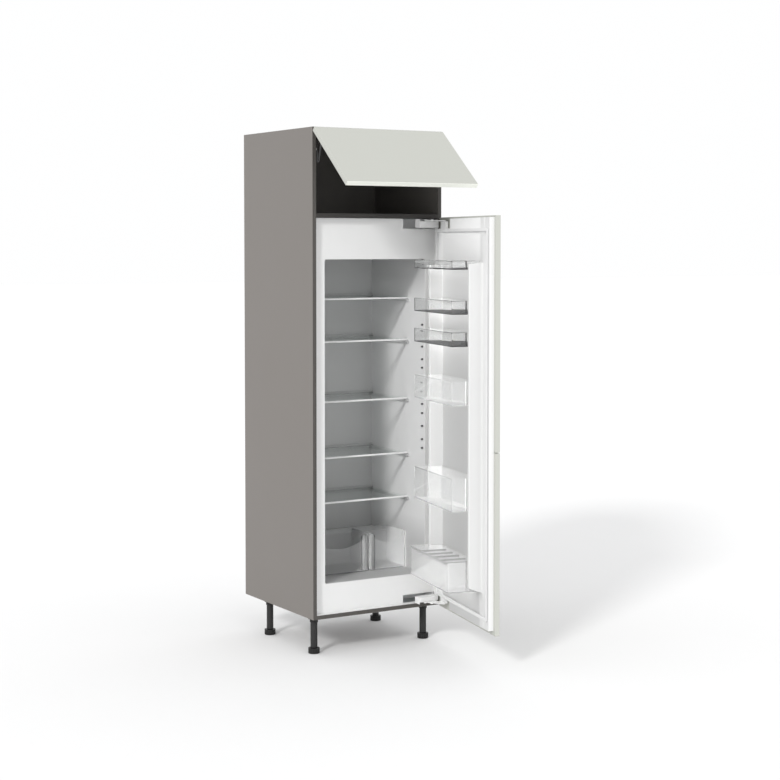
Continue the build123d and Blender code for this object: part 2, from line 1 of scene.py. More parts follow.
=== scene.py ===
import math

import bmesh
import bpy
from mathutils import Matrix, Vector


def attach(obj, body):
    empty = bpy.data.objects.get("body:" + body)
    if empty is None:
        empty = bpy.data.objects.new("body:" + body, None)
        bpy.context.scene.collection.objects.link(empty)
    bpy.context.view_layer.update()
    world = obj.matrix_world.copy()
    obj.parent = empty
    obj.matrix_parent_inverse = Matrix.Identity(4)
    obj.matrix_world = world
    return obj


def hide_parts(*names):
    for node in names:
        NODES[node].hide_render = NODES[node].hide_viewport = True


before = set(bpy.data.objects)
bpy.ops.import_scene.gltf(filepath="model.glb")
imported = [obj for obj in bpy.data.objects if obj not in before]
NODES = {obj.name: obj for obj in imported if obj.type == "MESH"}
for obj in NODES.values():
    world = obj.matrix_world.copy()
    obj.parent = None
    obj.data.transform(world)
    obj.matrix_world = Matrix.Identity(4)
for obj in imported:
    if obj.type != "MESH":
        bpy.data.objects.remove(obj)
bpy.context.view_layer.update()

scene = bpy.context.scene

# ------------------------------------------------------------------ places
# Shapes are drawn in millimetres in the cabinet's own corner frame: X from the left side, Y from the
# carcass front backwards, Z from the underside of the bottom board. Door shapes are drawn shut.
PX, PY = 599.0, -18.0
M_CAB = Matrix.Scale(0.001, 4) @ Matrix.Translation((-300.0, -302.5, 0.0))
M_DOOR = (M_CAB @ Matrix.Translation((PX, PY, 0)) @ Matrix.Rotation(math.radians(78.0), 4, "Z")
          @ Matrix.Translation((-PX, -PY, 0)))


# ------------------------------------------------------------------ node helpers
class Mat:
    """A small builder for one procedural material."""

    def __init__(self, name):
        self.m = bpy.data.materials.new(name)
        self.m.use_nodes = True
        self.t = self.m.node_tree
        self.b = self.t.nodes["Principled BSDF"]
        self.out = self.t.nodes["Material Output"]
        self._bump = None

    def n(self, kind, **kw):
        node = self.t.nodes.new(kind)
        for k, v in kw.items():
            setattr(node, k, v)
        return node

    def link(self, a, b):
        self.t.links.new(a, b)

    def coords(self, scale=(1, 1, 1)):
        tc = self.n("ShaderNodeTexCoord")
        mp = self.n("ShaderNodeMapping")
        mp.inputs["Scale"].default_value = scale
        self.link(tc.outputs["Object"], mp.inputs["Vector"])
        return mp.outputs["Vector"]

    def noise(self, scale, detail=3.0, rough=0.5, stretch=(1, 1, 1)):
        t = self.n("ShaderNodeTexNoise")
        t.inputs["Scale"].default_value = scale
        t.inputs["Detail"].default_value = detail
        t.inputs["Roughness"].default_value = rough
        self.link(self.coords(stretch), t.inputs["Vector"])
        return t.outputs["Fac"]

    def voronoi(self, scale, stretch=(1, 1, 1), feature="F1"):
        t = self.n("ShaderNodeTexVoronoi", feature=feature)
        t.inputs["Scale"].default_value = scale
        self.link(self.coords(stretch), t.inputs["Vector"])
        return t

    def span(self, value, a, b, lo=0.0, hi=1.0):
        r = self.n("ShaderNodeMapRange")
        r.inputs["From Min"].default_value = lo
        r.inputs["From Max"].default_value = hi
        r.inputs["To Min"].default_value = a
        r.inputs["To Max"].default_value = b
        self.link(value, r.inputs["Value"])
        return r.outputs["Result"]

    def math(self, op, a, b=None):
        m = self.n("ShaderNodeMath", operation=op)
        for i, v in enumerate((a, b)):
            if v is None:
                continue
            if isinstance(v, (int, float)):
                m.inputs[i].default_value = v
            else:
                self.link(v, m.inputs[i])
        return m.outputs[0]

    def mix(self, fac, a, b, mode="MIX"):
        m = self.n("ShaderNodeMix", data_type="RGBA", blend_type=mode)
        if isinstance(fac, (int, float)):
            m.inputs[0].default_value = fac
        else:
            self.link(fac, m.inputs[0])
        for i, v in ((6, a), (7, b)):
            if isinstance(v, (tuple, list)):
                m.inputs[i].default_value = (*v[:3], 1.0)
            else:
                self.link(v, m.inputs[i])
        return m.outputs[2]

    def color(self, v):
        if isinstance(v, (tuple, list)):
            self.b.inputs["Base Color"].default_value = (*v[:3], 1.0)
        else:
            self.link(v, self.b.inputs["Base Color"])

    def rough(self, v):
        if isinstance(v, (int, float)):
            self.b.inputs["Roughness"].default_value = v
        else:
            self.link(v, self.b.inputs["Roughness"])

    def bump(self, height, strength=0.2, distance=0.0005):
        bp = self.n("ShaderNodeBump")
        bp.inputs["Strength"].default_value = strength
        bp.inputs["Distance"].default_value = distance
        self.link(height, bp.inputs["Height"])
        if self._bump is not None:
            self.link(self._bump, bp.inputs["Normal"])
        self._bump = bp.outputs["Normal"]
        self.link(self._bump, self.b.inputs["Normal"])

    def object_axis(self, axis):
        tc = self.n("ShaderNodeTexCoord")
        s = self.n("ShaderNodeSeparateXYZ")
        self.link(tc.outputs["Object"], s.inputs[0])
        return s.outputs[axis]


def near(c, k):
    return tuple(max(0.0, min(1.0, x * k)) for x in c)


def solid(name, base, rough, vary=0.04, cloud=3.0, grain=900.0, grain_strength=0.12,
          grain_distance=0.0002, rough_vary=0.06, metallic=0.0, spec=0.5, coat=0.0, coat_rough=0.1,
          stretch=(1, 1, 1), wear=None):
    """A moulded, lacquered or coated surface: clouded colour, uneven gloss and a fine relief."""
    m = Mat(name)
    fine = m.noise(grain, 4.0, 0.6, stretch)
    cloudy = m.noise(cloud, 4.0, 0.55)
    speck = m.noise(grain * 0.35, 2.0, 0.5, stretch)
    c = m.mix(m.span(cloudy, 0.0, 1.0, 0.3, 0.7), near(base, 1 - vary), near(base, 1 + vary))
    c = m.mix(m.span(speck, 0.0, 0.5, 0.45, 0.75), c, near(base, 1 - 2.2 * vary))
    if wear:
        g = m.n("ShaderNodeNewGeometry")
        edge = m.span(g.outputs["Pointiness"], 0.0, wear[1], 0.52, 0.6)
        c = m.mix(edge, c, wear[0])
    m.color(c)
    m.rough(m.span(cloudy, rough - rough_vary, rough + rough_vary, 0.3, 0.7))
    m.b.inputs["Metallic"].default_value = metallic
    m.b.inputs["Specular IOR Level"].default_value = spec
    m.b.inputs["Coat Weight"].default_value = coat
    m.b.inputs["Coat Roughness"].default_value = coat_rough
    m.bump(fine, grain_strength, grain_distance)
    return m


# ------------------------------------------------------------------ materials
SIDE = (0.176, 0.162, 0.150)
DARK = (0.078, 0.072, 0.066)
INNER = (0.135, 0.127, 0.118)
PALE = (0.456, 0.464, 0.428)


def board(name, outer_axis=None, outer_at=None, outer_above=True, edge=DARK, other=SIDE):
    """Melamine faced board. The outside of a side is a lighter decor than its edges and inside."""
    m = Mat(name)
    fine = m.noise(1400.0, 3.0, 0.6)
    pore = m.noise(260.0, 5.0, 0.65, (1, 1, 0.18))
    cloud = m.noise(2.2, 4.0, 0.55)

    def tone(base, v):
        c = m.mix(m.span(cloud, 0.0, 1.0, 0.3, 0.7), near(base, 1 - v), near(base, 1 + v))
        return m.mix(m.span(pore, 0.0, 0.35, 0.5, 0.75), c, near(base, 1 - 2.5 * v))

    y = m.object_axis("Y")
    inside = m.span(y, 0.0, 1.0, -0.3018, -0.3005)
    c = m.mix(inside, tone(edge, 0.03), tone(INNER, 0.04))
    if outer_axis is not None:
        v = m.object_axis(outer_axis)
        out = m.math("GREATER_THAN" if outer_above else "LESS_THAN", v, outer_at)
        c = m.mix(out, c, tone(other, 0.018))
    m.color(c)
    m.rough(m.span(cloud, 0.46, 0.56, 0.3, 0.7))
    m.b.inputs["Specular IOR Level"].default_value = 0.42
    m.bump(pore, 0.10, 0.0002)
    m.bump(fine, 0.10, 0.0001)
    return m.m


MATS = {
    "board_left": board("board_left", "X", -0.29995, False),
    "board_right": board("board_right", "X", 0.29995, True, edge=near(DARK, 0.62)),
    "board_inner": board("board_inner"),
    # The appliance shelf's front edge is painted darker than the other edges: painted shade for the shadow of the
    # flap falling across it.
    "board_shelf_painted_shade": board("board_shelf_painted_shade", edge=near(DARK, 0.40)),
    "board_foot": board("board_foot", "Z", 0.0004, False, edge=DARK, other=(0.28, 0.27, 0.26)),
}


def board_back():
    m = solid("board_back", (0.150, 0.141, 0.131), 0.55, 0.05, 2.5, 700.0, 0.15)
    return m.m


MATS["board_back"] = board_back()


def front_lacquer(name, facing, edge_tone, foot=None, painted_bounce_tone=1.0):
    """Lacquered front. Its edge band is a little lighter than its face. Faces turned downwards, at the foot, are
    painted much lighter: painted light standing for bounce light from the floor.
    """
    m = Mat(name)
    peel = m.noise(420.0, 2.0, 0.4)
    fine = m.noise(2400.0, 2.0, 0.5)
    cloud = m.noise(1.6, 3.0, 0.5)
    c = m.mix(m.span(cloud, 0.0, 1.0, 0.3, 0.7), near(PALE, 0.985), near(PALE, 1.015))
    g = m.n("ShaderNodeNewGeometry")
    edge = m.span(g.outputs["Pointiness"], 0.0, 0.35, 0.52, 0.62)
    c = m.mix(edge, c, near(PALE, 1.12))
    tc = m.n("ShaderNodeTexCoord")
    dot = m.n("ShaderNodeVectorMath", operation="DOT_PRODUCT")
    m.link(tc.outputs["Normal"], dot.inputs[0])
    dot.inputs[1].default_value = facing
    band = m.math("LESS_THAN", m.math("ABSOLUTE", dot.outputs["Value"]), 0.5)
    c = m.mix(band, c, near(PALE, edge_tone))
    if foot is not None:
        low = m.n("ShaderNodeVectorMath", operation="DOT_PRODUCT")
        m.link(tc.outputs["Normal"], low.inputs[0])
        low.inputs[1].default_value = foot
        # Painted light: faces turned towards foot get the foot tone, a painted stand-in for the floor's bounce
        # light.
        c = m.mix(m.math("GREATER_THAN", low.outputs["Value"], 0.6), c, near(PALE, painted_bounce_tone))
    m.color(c)
    m.rough(m.span(cloud, 0.36, 0.44, 0.3, 0.7))
    m.b.inputs["Specular IOR Level"].default_value = 0.45
    m.bump(peel, 0.06, 0.0003)
    m.bump(fine, 0.05, 0.0001)
    return m.m


MATS["front"] = front_lacquer("front_lacquer", (0.978, -0.208, 0.0), 1.12)
# The flap's lower edge is painted twice as light: painted bounce light.
MATS["flap"] = front_lacquer("flap_lacquer", (0.0, -0.648, 0.762), 0.98, (0.0, -0.7615, -0.648), 2.0)

WHITE = (0.760, 0.762, 0.760)


def frame_plastic():
    """White front frame; the pockets behind it are painted a brighter white, painted light that lifts the shade
    in those recesses.
    """
    m = solid("frame_white", (0.780, 0.782, 0.780), 0.38, 0.008, 2.0, 1200.0, 0.10, 0.0001, 0.04, spec=0.45)
    base = m.b.inputs["Base Color"].links[0].from_socket
    # Painted light: faces behind the front of the frame, inside the hinge pockets, are brighter to lift their
    # shade.
    m.color(m.mix(m.math("GREATER_THAN", m.object_axis("Y"), -0.2732), base, (0.955, 0.957, 0.955)))
    return m.m


MATS["frame_white"] = frame_plastic()


def liner_plastic():
    """White inner lining, painted by place for light and shade: darker towards the foot as painted shade, a
    lighter right wall as painted light where the lamp falls on it, darker at that wall's top and foot as painted
    shade, and small dark pegs at the front of the right wall as painted shade.
    """
    m = solid("liner_white", (0.605, 0.607, 0.608), 0.34, 0.012, 3.0, 1100.0, 0.14, 0.00015, 0.05, spec=0.45)
    base = m.b.inputs["Base Color"].links[0].from_socket
    # Painted shade: the walls grow darker step by step towards the foot.
    base = m.mix(m.span(m.object_axis("Z"), 1.0, 0.0, 1.16, 1.34), base, (0.555, 0.557, 0.558))
    base = m.mix(m.span(m.object_axis("Z"), 1.0, 0.0, 0.35, 0.80), base, (0.485, 0.487, 0.488))
    # Painted light and shade on the right wall: lighter where the lamp falls on it, darker at its foot, and
    # darker at its top where shadow falls.
    wall = m.mix(m.span(m.object_axis("Z"), 1.0, 0.0, 0.25, 0.36), (0.785, 0.787, 0.788), (0.560, 0.562, 0.563))
    wall = m.mix(m.span(m.object_axis("Z"), 0.0, 1.0, 1.25, 1.36), wall, (0.610, 0.612, 0.613))
    base = m.mix(m.math("GREATER_THAN", m.object_axis("X"), 0.2386), base, wall)
    # Painted shade: the small pegs at the front of the right wall are painted dark, standing for the shade that
    # deeper pegs would have.
    x = m.math("GREATER_THAN", m.object_axis("X"), 0.2312)
    x = m.math("MULTIPLY", x, m.math("LESS_THAN", m.object_axis("X"), 0.2389))
    y = m.math("LESS_THAN", m.math("ABSOLUTE", m.math("ADD", m.object_axis("Y"), 0.2585)), 0.0046)
    m.color(m.mix(m.math("MULTIPLY", x, y), base, (0.105, 0.105, 0.108)))
    return m.m


MATS["liner_white"] = liner_plastic()


def door_plastic():
    """White door lining, painted by place for light and shade: lighter at the top, where the flap's shadow falls,
    and darker towards the foot, where the lamp falls full; a lighter strip on the hinge side as painted light
    that lifts the shade there; a darker band under the head as painted shade that damps the bright bounce between
    the ribs; and a darker free edge as painted shade where the lamp strikes it.
    """
    m = solid("door_white", (0.880, 0.882, 0.880), 0.33, 0.010, 3.0, 1100.0, 0.12, 0.00012, 0.05, spec=0.45)
    base = m.b.inputs["Base Color"].links[0].from_socket
    # Painted light and shade: lighter above, darker towards the foot.
    c = m.mix(m.span(m.object_axis("Z"), 1.0, 0.0, 0.95, 1.40), base, (0.540, 0.542, 0.540))
    # Painted light: the hinge-side strip is lighter to lift its shade.
    painted_light_strip = m.mix(m.span(m.object_axis("Z"), 1.0, 0.0, 0.95, 1.40), (0.915, 0.917, 0.915), (0.780, 0.782, 0.780))
    c = m.mix(m.span(m.object_axis("Y"), 0.0, 1.0, -0.412, -0.400), c, painted_light_strip)
    # Painted shade: a band just under the head is darker to damp the bright bounce between the ribs.
    painted_shade_band = m.math("MULTIPLY", m.span(m.object_axis("Z"), 0.0, 0.85, 1.295, 1.36),
                  m.span(m.object_axis("Z"), 1.0, 0.0, 1.405, 1.430))
    c = m.mix(painted_shade_band, c, (0.660, 0.662, 0.660))
    # Painted shade: the free edge, which faces the lamp, is darker.
    free = m.span(m.object_axis("Y"), 1.0, 0.0, -0.806, -0.786)
    m.color(m.mix(m.math("MULTIPLY", free, 0.9), c, (0.690, 0.692, 0.690)))
    return m.m


MATS["door_white"] = door_plastic()
MATS["skin_white"] = solid("skin_white", (0.815, 0.817, 0.817), 0.30, 0.010, 2.0, 500.0, 0.08,
                           0.0002, 0.04, coat=0.3, coat_rough=0.12).m
MATS["cover_white"] = solid("cover_white", (0.800, 0.800, 0.798), 0.40, 0.012, 8.0, 1500.0, 0.16,
                            0.00012, 0.05).m
MATS["trim_white"] = solid("trim_white", (0.900, 0.902, 0.900), 0.28, 0.008, 8.0, 1500.0, 0.06,
                           0.0001, 0.04, coat=0.2).m
MATS["rubber"] = solid("rubber", (0.720, 0.722, 0.722), 0.62, 0.03, 12.0, 1800.0, 0.20, 0.0001,
                       0.05, spec=0.35).m
MATS["black_plastic"] = solid("black_plastic", (0.009, 0.009, 0.009), 0.48, 0.18, 20.0, 1600.0,
                              0.30, 0.0002, 0.08, spec=0.30, wear=((0.04, 0.04, 0.04), 0.5)).m
MATS["grey_plastic"] = solid("grey_plastic", (0.300, 0.298, 0.292), 0.48, 0.04, 20.0, 1600.0, 0.25,
                             0.00015, 0.06).m
MATS["black_metal"] = solid("black_metal", (0.022, 0.022, 0.024), 0.38, 0.15, 14.0, 600.0, 0.25,
                            0.0003, 0.08, spec=0.5, wear=((0.10, 0.10, 0.10), 0.4)).m


def steel(name, base, rough, stretch, spangle=False):
    m = Mat(name)
    brush = m.noise(160.0, 6.0, 0.7, stretch)
    cloud = m.noise(9.0, 3.0, 0.5)
    c = m.mix(m.span(brush, 0.0, 1.0, 0.3, 0.7), near(base, 0.88), near(base, 1.08))
    if spangle:
        v = m.voronoi(34.0)
        hue = m.n("ShaderNodeRGBToBW")
        m.link(v.outputs["Color"], hue.inputs[0])
        c = m.mix(m.span(hue.outputs[0], 0.0, 0.6, 0.2, 0.8), c, near(base, 0.72))
    m.color(c)
    m.b.inputs["Metallic"].default_value = 1.0
    m.rough(m.span(cloud, rough - 0.07, rough + 0.09, 0.3, 0.7))
    m.bump(brush, 0.12, 0.0001)
    return m.m


MATS["steel"] = steel("steel", (0.66, 0.66, 0.65), 0.30, (1, 1, 12))
MATS["steel_dull"] = steel("steel_dull", (0.50, 0.51, 0.51), 0.42, (10, 1, 1))
MATS["galvanised"] = steel("galvanised", (0.56, 0.58, 0.59), 0.44, (1, 1, 1), True)
MATS["alu"] = steel("alu", (0.80, 0.81, 0.82), 0.36, (8, 1, 1))
MATS["copper"] = steel("copper", (0.72, 0.36, 0.22), 0.32, (1, 1, 6))


def foam():
    m = Mat("foam")
    v = m.voronoi(420.0)
    big = m.noise(14.0, 4.0, 0.6)
    c = m.mix(m.span(big, 0.0, 1.0, 0.3, 0.7), (0.62, 0.52, 0.30), (0.74, 0.65, 0.42))
    c = m.mix(m.span(v.outputs["Distance"], 0.0, 0.5, 0.1, 0.5), c, (0.50, 0.41, 0.22))
    m.color(c)
    m.rough(0.85)
    m.bump(v.outputs["Distance"], 0.6, 0.0008)
    return m.m


MATS["foam"] = foam()


def clear(name, tint, rough, ior=1.49, through=0.90, milk=0.0):
    """Clear plastic with faint moulding marks. Lamps shine through it."""
    m = Mat(name)
    wave = m.noise(26.0, 3.0, 0.5)
    fine = m.noise(700.0, 3.0, 0.6)
    m.color(m.mix(m.span(wave, 0.0, 1.0, 0.3, 0.7), near(tint, 0.985), near(tint, 1.01)))
    m.rough(m.span(fine, rough, rough + 0.05, 0.4, 0.8))
    m.b.inputs["IOR"].default_value = ior
    m.b.inputs["Transmission Weight"].default_value = 1.0 - milk
    m.bump(wave, 0.05, 0.0006)
    lp = m.n("ShaderNodeLightPath")
    tr = m.n("ShaderNodeBsdfTransparent")
    tr.inputs[0].default_value = (through, through, through, 1)
    mx = m.n("ShaderNodeMixShader")
    m.link(lp.outputs["Is Shadow Ray"], mx.inputs[0])
    m.link(m.b.outputs[0], mx.inputs[1])
    m.link(tr.outputs[0], mx.inputs[2])
    m.link(mx.outputs[0], m.out.inputs["Surface"])
    return m.m


MATS["clear"] = clear("clear", (0.985, 0.988, 0.988), 0.015, 1.20, 0.975, 0.08)
MATS["clear_small"] = clear("clear_small", (0.97, 0.973, 0.973), 0.015, 1.30, 0.97, 0.02)
# A dark clear plastic used only as painted shade: the dark refraction look on the small racks and beside the
# crisper posts.
MATS["clear_painted_shade"] = clear("clear_painted_shade", (0.05, 0.05, 0.052), 0.35, 1.12, 0.97, 0.55)
MATS["clear_grey"] = clear("clear_grey", (0.60, 0.602, 0.604), 0.05, 1.20, 0.95, 0.25)
MATS["clear_white"] = clear("clear_white", (0.96, 0.962, 0.962), 0.10, 1.20, 0.97, 0.65)
MATS["clear_soft"] = clear("clear_soft", (0.93, 0.932, 0.932), 0.08, 1.20, 0.97, 0.22)
MATS["clear_post"] = clear("clear_post", (0.97, 0.973, 0.973), 0.01, 1.49, 0.93, 0.02)
MATS["clear_trim"] = clear("clear_trim", (0.97, 0.972, 0.972), 0.05, 1.12, 0.95, 0.05)
MATS["clear_crisper"] = clear("clear_crisper", (0.97, 0.973, 0.973), 0.02, 1.22, 0.97, 0.10)
MATS["enamel"] = solid("enamel", (0.800, 0.802, 0.800), 0.32, 0.012, 8.0, 900.0, 0.12, 0.00012, 0.05,
                       coat=0.2).m
MATS["lens"] = clear("lens", (0.93, 0.94, 0.94), 0.18)


def pane():
    """Float glass seen as a thin sheet: what is behind shows through, with a gloss at low angles."""
    m = Mat("pane")
    wave = m.noise(5.0, 2.0, 0.5)
    m.t.nodes.remove(m.b)
    lw = m.n("ShaderNodeLayerWeight")
    lw.inputs["Blend"].default_value = 0.5
    gloss = m.math("ADD", m.math("MULTIPLY", m.math("POWER", lw.outputs["Facing"], 4.5), 0.55), 0.02)
    bp = m.n("ShaderNodeBump")
    bp.inputs["Strength"].default_value = 0.03
    bp.inputs["Distance"].default_value = 0.001
    m.link(wave, bp.inputs["Height"])
    gl = m.n("ShaderNodeBsdfAnisotropic")
    gl.inputs["Roughness"].default_value = 0.03
    gl.inputs["Color"].default_value = (0.95, 0.96, 0.955, 1)
    m.link(bp.outputs["Normal"], gl.inputs["Normal"])
    tr = m.n("ShaderNodeBsdfTransparent")
    m.link(m.mix(m.span(wave, 0.0, 1.0, 0.3, 0.7), (0.968, 0.980, 0.975), (0.976, 0.986, 0.981)),
           tr.inputs[0])
    mx = m.n("ShaderNodeMixShader")
    m.link(gloss, mx.inputs[0])
    m.link(tr.outputs[0], mx.inputs[1])
    m.link(gl.outputs[0], mx.inputs[2])
    lp = m.n("ShaderNodeLightPath")
    sh = m.n("ShaderNodeBsdfTransparent")
    sh.inputs[0].default_value = (0.975, 0.98, 0.977, 1)
    top = m.n("ShaderNodeMixShader")
    m.link(lp.outputs["Is Shadow Ray"], top.inputs[0])
    m.link(mx.outputs[0], top.inputs[1])
    m.link(sh.outputs[0], top.inputs[2])
    m.link(top.outputs[0], m.out.inputs["Surface"])
    return m.m


MATS["pane"] = pane()

# ------------------------------------------------------------------ the frame's own nodes
USE = {
    "side_panel_left": "board_left", "side_panel_right": "board_right", "bottom_panel": "board_foot",
    "top_panel": "board_inner", "appliance_shelf": "board_shelf_painted_shade", "rear_rails": "board_inner",
    "compartment_back": "board_back", "cam_fittings": "steel_dull", "leg_sockets": "black_plastic",
    "leg_screws": "steel", "leg_tubes": "black_plastic", "foot_front_left": "black_plastic",
    "foot_front_right": "black_plastic", "foot_rear_left": "black_plastic",
    "foot_rear_right": "black_plastic", "appliance_case": "galvanised", "front_frame": "frame_white",
    "inner_liner": "liner_white", "insulation": "foam", "evaporator": "alu",
    "compressor": "black_metal", "condenser": "black_metal", "refrigerant_pipe": "copper",
    "drip_tray": "black_plastic", "lamp_housing": "cover_white", "lamp_lens": "lens",
    "thermostat_knob": "grey_plastic", "mains_inlet": "black_plastic", "door_skin": "skin_white",
    "door_foam": "foam", "door_liner": "door_white", "door_gasket": "rubber",
    "front_upper": "front", "front_lower": "front", "front_brackets": "steel",
    "rack_top": "clear", "racks_small": "clear", "rack_medium": "clear", "rack_tall": "clear",
    "rack_bottom": "clear", "hinge_plates": "enamel", "hinge_bars_a": "enamel",
    "hinge_bars_b": "enamel", "hinge_bars_c": "cover_white", "hinge_bars_d": "enamel",
    "hinge_leaves": "enamel", "flap_panel": "flap", "flap_hinge_cups": "steel",
    "flap_hinge_arms": "steel", "stay_housings": "grey_plastic", "stay_arms": "black_metal",
    "stay_links": "black_metal", "stay_brackets": "steel", "crisper_left": "clear_crisper",
    "crisper_right": "clear_crisper",
    "shelf_1": "pane", "shelf_2": "pane", "shelf_3": "pane", "shelf_4": "pane", "shelf_5": "pane",
}
for node, mat in USE.items():
    o = NODES[node]
    o.data.materials.clear()
    o.data.materials.append(MATS[mat])


# ------------------------------------------------------------------ mesh helpers
def absorb(bm, part, mat=0):
    tmp = bpy.data.meshes.new("tmp")
    part.to_mesh(tmp)
    part.free()
    start = len(bm.faces)
    bm.from_mesh(tmp)
    bpy.data.meshes.remove(tmp)
    bm.faces.ensure_lookup_table()
    for f in bm.faces[start:]:
        f.material_index = mat


def rbox(bm, x0, x1, y0, y1, z0, z1, r=0.8, seg=2, mat=0):
    """A box with rounded edges."""
    b = bmesh.new()
    bmesh.ops.create_cube(b, size=1.0)
    for v in b.verts:
        v.co = Vector(((x0 + x1) / 2 + v.co.x * (x1 - x0), (y0 + y1) / 2 + v.co.y * (y1 - y0),
                       (z0 + z1) / 2 + v.co.z * (z1 - z0)))
    r = min(r, 0.49 * min(x1 - x0, y1 - y0, z1 - z0))
    bmesh.ops.bevel(b, geom=b.edges[:], offset=r, segments=seg, profile=0.5, affect="EDGES")
    absorb(bm, b, mat)


def lathe(bm, centre, axis, profile, n=24, mat=0):
    """A turned piece: profile is (radius, distance along axis) from one end to the other."""
    b = bmesh.new()
    rings = []
    for r, h in profile:
        ring = []
        for k in range(n):
            a = 2 * math.pi * k / n
            ring.append(b.verts.new((r * math.cos(a), r * math.sin(a), h)))
        rings.append(ring)
    for p, q in zip(rings[:-1], rings[1:]):
        for k in range(n):
            b.faces.new((p[k], p[(k + 1) % n], q[(k + 1) % n], q[k]))
    b.faces.new(list(reversed(rings[0])))
    b.faces.new(rings[-1])
    rot = Vector((0, 0, 1)).rotation_difference(Vector(axis)).to_matrix().to_4x4()
    b.transform(Matrix.Translation(centre) @ rot)
    absorb(bm, b, mat)


def outline(pts, radii, d, k=5):
    """The closed outline pts, anticlockwise, moved inwards by d, with its corners rounded. A radius of
    None keeps a plain point."""
    n = len(pts)
    p = [Vector(q) for q in pts]
    lines = []
    for i in range(n):
        t = (p[(i + 1) % n] - p[i]).normalized()
        lines.append((p[i] + Vector((-t.y, t.x)) * d, t))
    out = []
    for i in range(n):
        (a, t1), (b, t2) = lines[i - 1], lines[i]
        cross = t1.x * t2.y - t1.y * t2.x
        if radii[i] is None or abs(cross) < 1e-6:
            out.append((b.x, b.y))
            continue
        w = b - a
        s = (w.x * t2.y - w.y * t2.x) / cross
        c = a + t1 * s
        turn = math.acos(max(-1.0, min(1.0, t1.dot(t2))))
        r = max(radii[i] - d, 0.2) if cross > 0 else radii[i] + d
        tl = r * math.tan(turn / 2)
        a1 = c - t1 * tl
        side = Vector((-t1.y, t1.x)) * (1 if cross > 0 else -1)
        cen = a1 + side * r
        a0 = math.atan2(a1.y - cen.y, a1.x - cen.x)
        for j in range(k + 1):
            th = a0 + (turn if cross > 0 else -turn) * j / k
            out.append((cen.x + r * math.cos(th), cen.y + r * math.sin(th)))
    return out


def loft(bm, rings, mat=0, cap_first=True, cap_last=True, closed=False):
    """Quads between rings of points. closed joins the last ring to the first."""
    vs = [[bm.verts.new(q) for q in ring] for ring in rings]
    n = len(vs[0])
    pairs = list(zip(vs[:-1], vs[1:]))
    if closed:
        pairs.append((vs[-1], vs[0]))
    for a, b in pairs:
        for k in range(n):
            f = bm.faces.new((a[k], a[(k + 1) % n], b[(k + 1) % n], b[k]))
            f.material_index = mat
    if not closed:
        if cap_first:
            f = bm.faces.new(list(reversed(vs[0])))
            f.material_index = mat
        if cap_last:
            f = bm.faces.new(vs[-1])
            f.material_index = mat
    return vs


def piece(name, bm, mats, body, place=M_CAB, stands_for=(), sharp=35.0, weld=0.0):
    if weld:
        bmesh.ops.remove_doubles(bm, verts=bm.verts[:], dist=weld)
    bmesh.ops.recalc_face_normals(bm, faces=bm.faces[:])
    bm.transform(place)
    for e in bm.edges:
        if len(e.link_faces) == 2:
            e.smooth = e.calc_face_angle(0.0) < math.radians(sharp)
    for f in bm.faces:
        f.smooth = True
    me = bpy.data.meshes.new(name)
    bm.to_mesh(me)
    bm.free()
    o = bpy.data.objects.new(name, me)
    scene.collection.objects.link(o)
    for m in mats:
        me.materials.append(MATS[m])
    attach(o, body)
    if stands_for:
        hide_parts(*stands_for)
    return o


# ------------------------------------------------------------------ shelves
SHELF_Z = (1267.0, 1093.0, 848.0, 619.0, 435.0)
SX0, SX1 = 68.5, 537.5


def sweep_x(bm, profile, x0, x1, mat=0, ease=1.0):
    """A bar along X with the closed (y, z) profile, its ends drawn in a little."""
    cy = sum(p[0] for p in profile) / len(profile)
    cz = sum(p[1] for p in profile) / len(profile)

    def ring(x, k):
        return [(x, cy + (y - cy) * k, cz + (z - cz) * k) for y, z in profile]

    loft(bm, [ring(x0, 0.82), ring(x0 + ease * 0.3, 0.95), ring(x0 + ease, 1.0), ring(x1 - ease, 1.0),
              ring(x1 - ease * 0.3, 0.95), ring(x1, 0.82)], mat)


